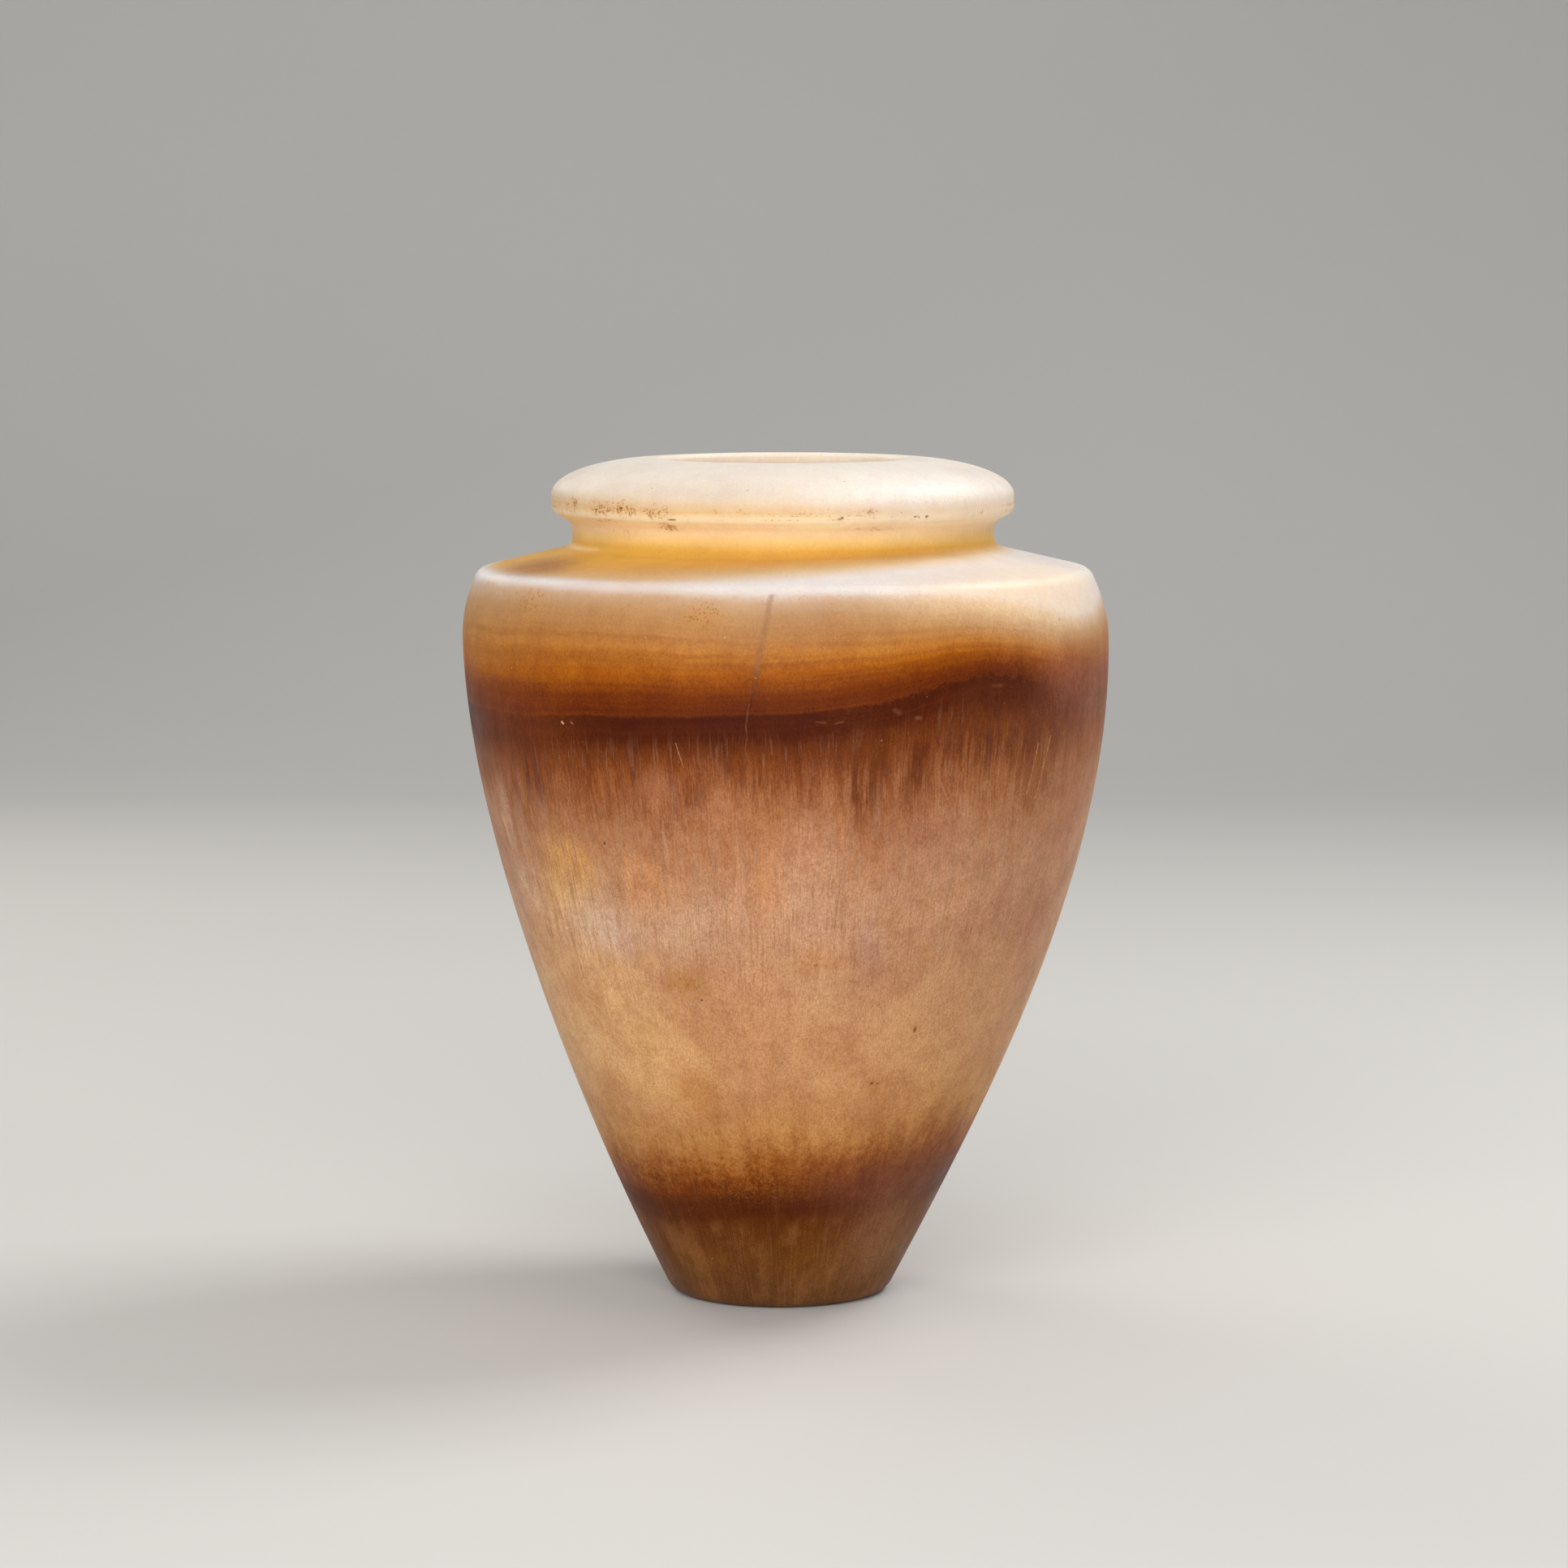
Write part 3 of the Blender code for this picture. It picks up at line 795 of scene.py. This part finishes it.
# Crack, seams and scratches
stoneLines = [
    # colour, strength, flat share, then azimuth, height and width from point to point
    ((146, 108, 78), 0.46, 0.2, [(-2.3, 258, 1.6), (-3.4, 248, 1.8), (-4.9, 233, 1.9)]),
    ((120, 76, 46), 0.34, 0.2, [(-4.9, 233, 1.8), (-5.6, 225, 1.6)]),
    ((74, 34, 10), 0.5, 0.0, [(-5.7, 225.5, 0.5), (-6.8, 216.5, 0.5)]),
    ((148, 96, 64), 0.6, 0.0, [(-6.3, 222.5, 0.4), (-7.0, 215, 0.4), (-6.8, 211, 0.4),
                                (-7.3, 207, 0.4), (-6.5, 201, 0.4)]),
    ((244, 212, 180), 0.95, 0.0, [(-42.4, 213.6, 0.5), (-42.1, 213.1, 0.5)]),
    ((206, 156, 114), 0.6, 0.0, [(-40.2, 213.7, 0.4), (-39.8, 213.3, 0.4)]),
    ((150, 98, 70), 0.4, 0.0, [(5.0, 216.3, 0.7), (6.4, 216, 0.6)]),
    ((150, 98, 70), 0.36, 0.0, [(8.1, 215.8, 0.5), (9.4, 216.3, 0.6)]),
    ((170, 116, 86), 0.34, 0.0, [(22.4, 217, 1), (23.2, 216.8, 1)]),
    ((146, 94, 68), 0.36, 0.0, [(18.4, 219.8, 1.5), (19.2, 219, 1.3)]),
    ((136, 82, 58), 0.4, 0.2, [(37.6, 226.5, 0.9), (39.6, 226.4, 0.9)]),
    ((228, 200, 172), 0.4, 0.1, [(-68.6, 176, 1.6), (-66.5, 166, 2)]),
    ((228, 200, 172), 0.45, 0.1, [(-67.0, 156, 1.8), (-61.0, 144, 2.2)]),
    ((206, 150, 112), 0.7, 0.0, [(-19.4, 208.5, 0.3), (-18.3, 200.5, 0.3)]),
    ((206, 156, 120), 0.4, 0.0, [(27.0, 196, 0.5), (31.0, 183, 0.5)]),
    ((210, 160, 116), 0.4, 0.0, [(49.5, 205, 0.6), (48.0, 188, 0.6)]),
    ((214, 166, 122), 0.45, 0.0, [(53.0, 207, 0.6), (50.5, 186, 0.6)]),
    ((120, 72, 44), 0.45, 0.3, [(160.0, 250, 1), (161.0, 230, 1.1), (163.0, 212, 0.8)]),
]
# Soil everywhere, where it gathers on the collar's edge, and how much of the grain it fills
soiling = {
    "all over": 0.10, "collar edge": (0.2800, 0.2828, 0.2850, 0.2880),
    "threshold": 0.62, "spread": 0.15,
}
# Dark chips: azimuth, height, reach across, reach up
darkChips = [
    (13.7, 282.2, 0.8, 0.5), (14.2, 282.7, 0.6, 0.5), (33.6, 282.6, 0.6, 0.4), (34.6, 282.4, 0.4, 0.3),
    (37.0, 282.5, 0.7, 0.5), (-27.5, 281.8, 1.6, 0.3), (-47.0, 283.9, 1.2, 0.2), (-51.5, 284.2, 0.8, 0.3),
    (-42.5, 285.2, 0.7, 0.4), (-36.0, 172.2, 0.5, 0.5), (-19.0, 118, 0.6, 0.5), (22.0, 87, 0.7, 0.5),
    (23.6, 86.8, 0.5, 0.4), (30.5, 106, 0.6, 1.2),
]


# Dots: cells to the metre, size, share of the cells that have one
dots = {"pinholes": (150.0, 0.00042, 0.16), "nicks": (190.0, 0.00034, 0.16)}
# The drilled inside is paler than the outside and palest in the mouth, where the near white is painted light
# on the inner wall; it has soil at one place of its rim
drilled = {
    "paleness": 0.45, "pale": (232, 212, 182), "shade": (205, 196, 184), "mouth": (255, 252, 246),
    "litMouthBand": (0.262, 0.286), "soilPlace": (0.026, 0.034, 0.2975), "soilSize": (0.010, 0.010, 0.0022),
}
# Alabaster lets light in a little way, red light the furthest
softness = {"Subsurface Weight": 0.75, "Subsurface Scale": 0.016, "IOR": 1.53, "Specular IOR Level": 0.08}
lightReach = {"outside": (1.0, 0.62, 0.34), "inside": (1.0, 0.94, 0.86)}
polish = {"worn": (0.36, 0.50), "soiled": 0.2, "drilled": (0.55, 0.72)}    # roughness
relief = {"outside": 0.00008, "inside": 0.0003}


def newMaterial(name):
    material = bpy.data.materials.new(name)
    material.use_nodes = True
    tree = material.node_tree
    tree.nodes.clear()
    shader = put(tree, "ShaderNodeBsdfPrincipled")
    output = tree.nodes.new("ShaderNodeOutputMaterial")
    tree.links.new(shader.outputs[0], output.inputs["Surface"])
    return material, shader.inputs, made(tree, "ShaderNodeTexCoord", output="Object")


def dotted(place, cells, size, share):
    # small round dots, one in some of the cells
    node = put(place.tree, "ShaderNodeTexVoronoi", {"Vector": place, "Scale": cells, "Randomness": 1.0})
    cell = valuesOf(node.outputs)
    chosen = made(place.tree, "ShaderNodeSeparateColor", {0: cell["Color"]})
    near = remap(cell["Distance"], size * cells, size * cells * 0.45)
    return near * calc("LESS_THAN", chosen, share)


def softStone(shader, reach):
    for name, value in softness.items():
        shader[name].default_value = value
    shader["Subsurface Radius"].default_value = reach


def bumpy(shader, height, distance):
    bump = {"Height": height, "Distance": distance, "Strength": 0.5}
    send(made(height.tree, "ShaderNodeBump", bump), shader["Normal"])


def outerStone(layers, spot, line):
    material, shader, place = newMaterial("polishedAlabaster")
    stone = useGroup(layers, {"Position": place})
    colour = stone["Colour"]
    layer = stone["Layer"]
    uneven = calc("MULTIPLY_ADD", stone["Unevenness"], 0.6, stone["Strokes"]) * 3.0
    crooked = stone["Unevenness"] * 1.4

    # clouds of another tint read from the mesh, with painted shadow and highlight among them
    cloudedAndLit = valuesOf(put(place.tree, "ShaderNodeAttribute", attribute_name="cloudAndPaintedLightTint").outputs)
    cover = calc("MULTIPLY", cloudedAndLit["Alpha"], uneven + 1.0, clamp=True)
    colour = blend(cover, colour, cloudedAndLit["Color"])
    for tint, strength, flat, places in stoneLines:
        mask = 0.0
        for start, end in zip(places, places[1:]):
            part = useGroup(line, {"Position": place, "From": surfacePoint(*start[:2]),
                                   "To": surfacePoint(*end[:2]), "Width": (start[2] + end[2]) / 2000,
                                   "Unevenness": crooked, "Flat": flat})
            mask = calc("MAXIMUM", part["Mask"], mask)
        colour = blend(mask * strength, colour, linear(*tint))

    # cloudiness, from the hand's breadth down to the grain
    fields = {}
    cloudy = colour
    for name, scale, detail, rough, low, high, tint, brightTint in cloudiness:
        fields[name] = noise(place, scale, detail, rough)
        cloudy = shaded(cloudy, fields[name], low, high, tint, brightTint)
    cloudy = shaded(cloudy, stone["Grain"], -0.16, 0.12, (238, 229, 221))
    colour = blend(remap(layer, 262.0, 230.0, 0.35, 1.0), colour, cloudy)

    # soil as smears, freckles and crumbs, with marks of the turning round the collar's edge
    edge = between(parts(place)[2], *soiling["collar edge"])
    turning = noise(place, patterns["turning marks"], 3.0, 0.6)
    patchy = noise(place, patterns["soil patches"], 3.0, 0.55)
    soil = remap(patchy, 0.45, 0.75) * soiling["all over"]
    ring = edge * (remap(turning, 0.36, 0.66, 0.30, 0.75) * remap(patchy, 0.34, 0.56, 0.45, 1.0))
    soil = calc("MAXIMUM", soil, ring)
    painted = made(place.tree, "ShaderNodeAttribute", output="Fac", attribute_name="soil")
    soil = calc("MAXIMUM", soil, painted)
    speckle = fields["grain"] * 0.55 + noise(place, patterns["soil dust"], 4.0, 0.7) * 0.45
    over = speckle - (soiling["threshold"] - soil * soiling["spread"])
    stain = calc("MULTIPLY_ADD", over, 5.0, 0.55, clamp=True) * soil
    colour = marked(colour, stain, "stain")
    freckle = calc("MULTIPLY", over, 14.0, clamp=True) * calc("MULTIPLY", soil, 1.2, clamp=True)
    colour = marked(colour, freckle, "freckles")
    for azimuth, height, across, up in darkChips:
        mask = useGroup(spot, {"Position": place, "Centre": surfacePoint(azimuth, height),
                               "Size": metres(across, across, up), "Unevenness": uneven,
                               "Ragged": 0.8, "Edge": 0.45})["Mask"]
        freckle = calc("MAXIMUM", freckle, mask)
        colour = marked(colour, mask, "chips")

    # pinholes and pale nicks
    colour = marked(colour, dotted(place, *dots["pinholes"]), "pinholes")
    nicks = dotted(along("ADD", place, (0.4, 0.7, 0.2)), *dots["nicks"])
    colour = marked(colour, nicks * remap(layer, 232.0, 205.0, 0.75, 0.35), "nicks")
    send(colour, shader["Base Color"])

    # worn polish, duller where soiled
    worn = remap(noise(place, patterns["wear"], 4.0, 0.6), 0.3, 0.7, *polish["worn"])
    send(worn + freckle * polish["soiled"], shader["Roughness"])
    bumpy(shader, calc("MULTIPLY_ADD", fields["mottle"], 0.3, fields["grain"]), relief["outside"])
    softStone(shader, lightReach["outside"])
    return material


def innerStone(layers, spot):
    # drilled out and never polished
    material, shader, place = newMaterial("drilledAlabaster")
    stone = useGroup(layers, {"Position": place})
    colour = blend(drilled["paleness"], stone["Colour"], linear(*drilled["pale"]))
    clouds = noise(place, patterns["drilled clouds"], 5.0, 0.6)
    colour = shaded(colour, clouds, 0.34, 0.64, drilled["shade"])
    height = parts(place)[2]
    # near white towards the mouth: painted light on the inner wall, over the pale drilled stone
    colour = blend(remap(height, *drilled["litMouthBand"]), colour, linear(*drilled["mouth"]))
    mouthSoil = useGroup(spot, {"Position": place, "Centre": drilled["soilPlace"],
                                "Size": drilled["soilSize"], "Unevenness": stone["Unevenness"],
                                "Ragged": 3.6, "Edge": 0.7})
    send(marked(colour, mouthSoil["Mask"], "mouth soil"), shader["Base Color"])
    rings = noise(joined(z=height * patterns["drill rings"]), 1.0, 3.0, 0.6)
    grain = noise(place, patterns["drilled grain"], 3.0, 0.6)
    bumpy(shader, rings + grain * 0.4, relief["inside"])
    send(remap(clouds, 0.3, 0.7, *polish["drilled"]), shader["Roughness"])
    softStone(shader, lightReach["inside"])
    return material


def paintSpots(jar):
    # soft spots kept on the mesh, as attributes that the stone reads: its clouds with painted shadow and
    # highlight among them, and how soiled it is
    count = len(jar.data.vertices)
    points = numpy.empty(count * 3)
    jar.data.vertices.foreach_get("co", points)
    points = points.reshape(count, 3)

    def nearness(azimuth, height, across, up):
        reach = (points - numpy.array(surfacePoint(azimuth, height))) / metres(across, across, up)
        return numpy.exp(-0.7 * (reach ** 2).sum(axis=1) ** 1.4)

    tint = numpy.zeros((count, 4))
    for azimuth, height, across, up, colour, strength in cloudsAndPaintedLight:
        cover = (strength * nearness(azimuth, height, across, up))[:, None]
        tint = tint * (1 - cover) + numpy.array(linear(*colour)) * cover
    tint[:, :3] /= numpy.maximum(tint[:, 3:], 0.001)
    jar.data.attributes.new("cloudAndPaintedLightTint", "FLOAT_COLOR", "POINT").data.foreach_set("color", tint.ravel())
    soil = numpy.zeros(count)
    for azimuth, height, across, up, strength in soiledPlaces:
        soil = numpy.maximum(soil, strength * nearness(azimuth, height, across, up))
    jar.data.attributes.new("soil", "FLOAT", "POINT").data.foreach_set("value", soil)


spot = spotGroup()
line = lineGroup()
layers = layersGroup()
print("stone materials")
jar = turnedJar(outerStone(layers, spot, line), innerStone(layers, spot))
paintSpots(jar)
print("jar:", len(jar.data.polygons), "faces")
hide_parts("jar")
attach(jar, "root")


# Studio

studio = {
    "floorColour": (196, 194, 190), "floorShade": (182, 180, 178), "floorMottle": 0.25,
    "floorRoughness": 0.75,
    "floorWidth": 6.0, "floorFront": -2.4, "sweepStart": 1.6, "sweepRadius": 1.0, "sweepSteps": 12,
    "wallHeight": 3.2, "world": 0.40, "worldColour": (0.95, 0.97, 1.0, 1.0),
    "lens": 113.66, "distance": 1.7739, "pitch": 6.2, "aimHeight": 0.18315, "aimAcross": -0.00058,
}
# name, place, where it points, width, height, power, colour
studioLights = [
    ("keyLight", (0.95, 0.50, 1.40), (0.0, 0.0, 0.22), 0.70, 0.70, 17.5, (1.0, 0.99, 0.98)),
    ("fillLight", (-0.3, -2.1, 0.95), (0.0, 0.0, 0.16), 2.6, 1.2, 54.0, (1.0, 0.985, 0.96)),
    ("backLight", (-0.9, 1.2, 1.0), (0.0, 0.0, 0.22), 0.8, 0.8, 7.0, (1.0, 0.96, 0.90)),
    ("topLight", (0.1, -0.5, 1.7), (0.0, 0.05, 0.28), 0.6, 0.6, 2.4, (1.0, 0.99, 0.98)),
]


def paleFloor():
    points = [(studio["floorFront"], 0.0)]
    radius = studio["sweepRadius"]
    for step in range(studio["sweepSteps"] + 1):
        angle = math.radians(90 * step / studio["sweepSteps"])
        points.append((studio["sweepStart"] + radius * math.sin(angle), radius - radius * math.cos(angle)))
    points.append((studio["sweepStart"] + radius, studio["wallHeight"]))
    half = studio["floorWidth"] / 2
    verts = [(x, y, z) for y, z in points for x in (-half, half)]
    faces = [(2 * i, 2 * i + 1, 2 * i + 3, 2 * i + 2) for i in range(len(points) - 1)]
    mesh = bpy.data.meshes.new("paleFloor")
    mesh.from_pydata(verts, [], faces)
    mesh.shade_smooth()
    floor = added("paleFloor", mesh)
    material, shader, place = newMaterial("palePaper")
    tone = noise(place, 3.0, 2.0) * studio["floorMottle"]
    send(blend(tone, linear(*studio["floorColour"]), linear(*studio["floorShade"])), shader["Base Color"])
    shader["Roughness"].default_value = studio["floorRoughness"]
    mesh.materials.append(material)


def studioLight(name, place, target, width, height, power, colour):
    lamp = bpy.data.lights.new(name, "AREA")
    lamp.shape = "RECTANGLE"
    lamp.size = width
    lamp.size_y = height
    lamp.energy = power
    lamp.color = colour
    thing = added(name, lamp)
    thing.location = place
    thing.rotation_euler = (Vector(target) - Vector(place)).to_track_quat("-Z", "Y").to_euler()


def studioCamera():
    data = bpy.data.cameras.new("camera")
    data.sensor_width = 36.0
    data.lens = studio["lens"]
    data.clip_start = 0.05
    data.clip_end = 50.0
    camera = added("camera", data)
    pitch = math.radians(studio["pitch"])
    camera.location = (studio["aimAcross"], -studio["distance"] * math.cos(pitch),
                       studio["aimHeight"] + studio["distance"] * math.sin(pitch))
    camera.rotation_euler = (math.radians(90) - pitch, 0.0, 0.0)
    bpy.context.scene.camera = camera


paleFloor()
for light in studioLights:
    studioLight(*light)
world = bpy.data.worlds.new("studio")
bpy.context.scene.world = world
world.use_nodes = True
background = world.node_tree.nodes["Background"]
background.inputs["Color"].default_value = studio["worldColour"]
background.inputs["Strength"].default_value = studio["world"]
studioCamera()
bpy.context.scene.view_settings.view_transform = "Standard"
print("studio")
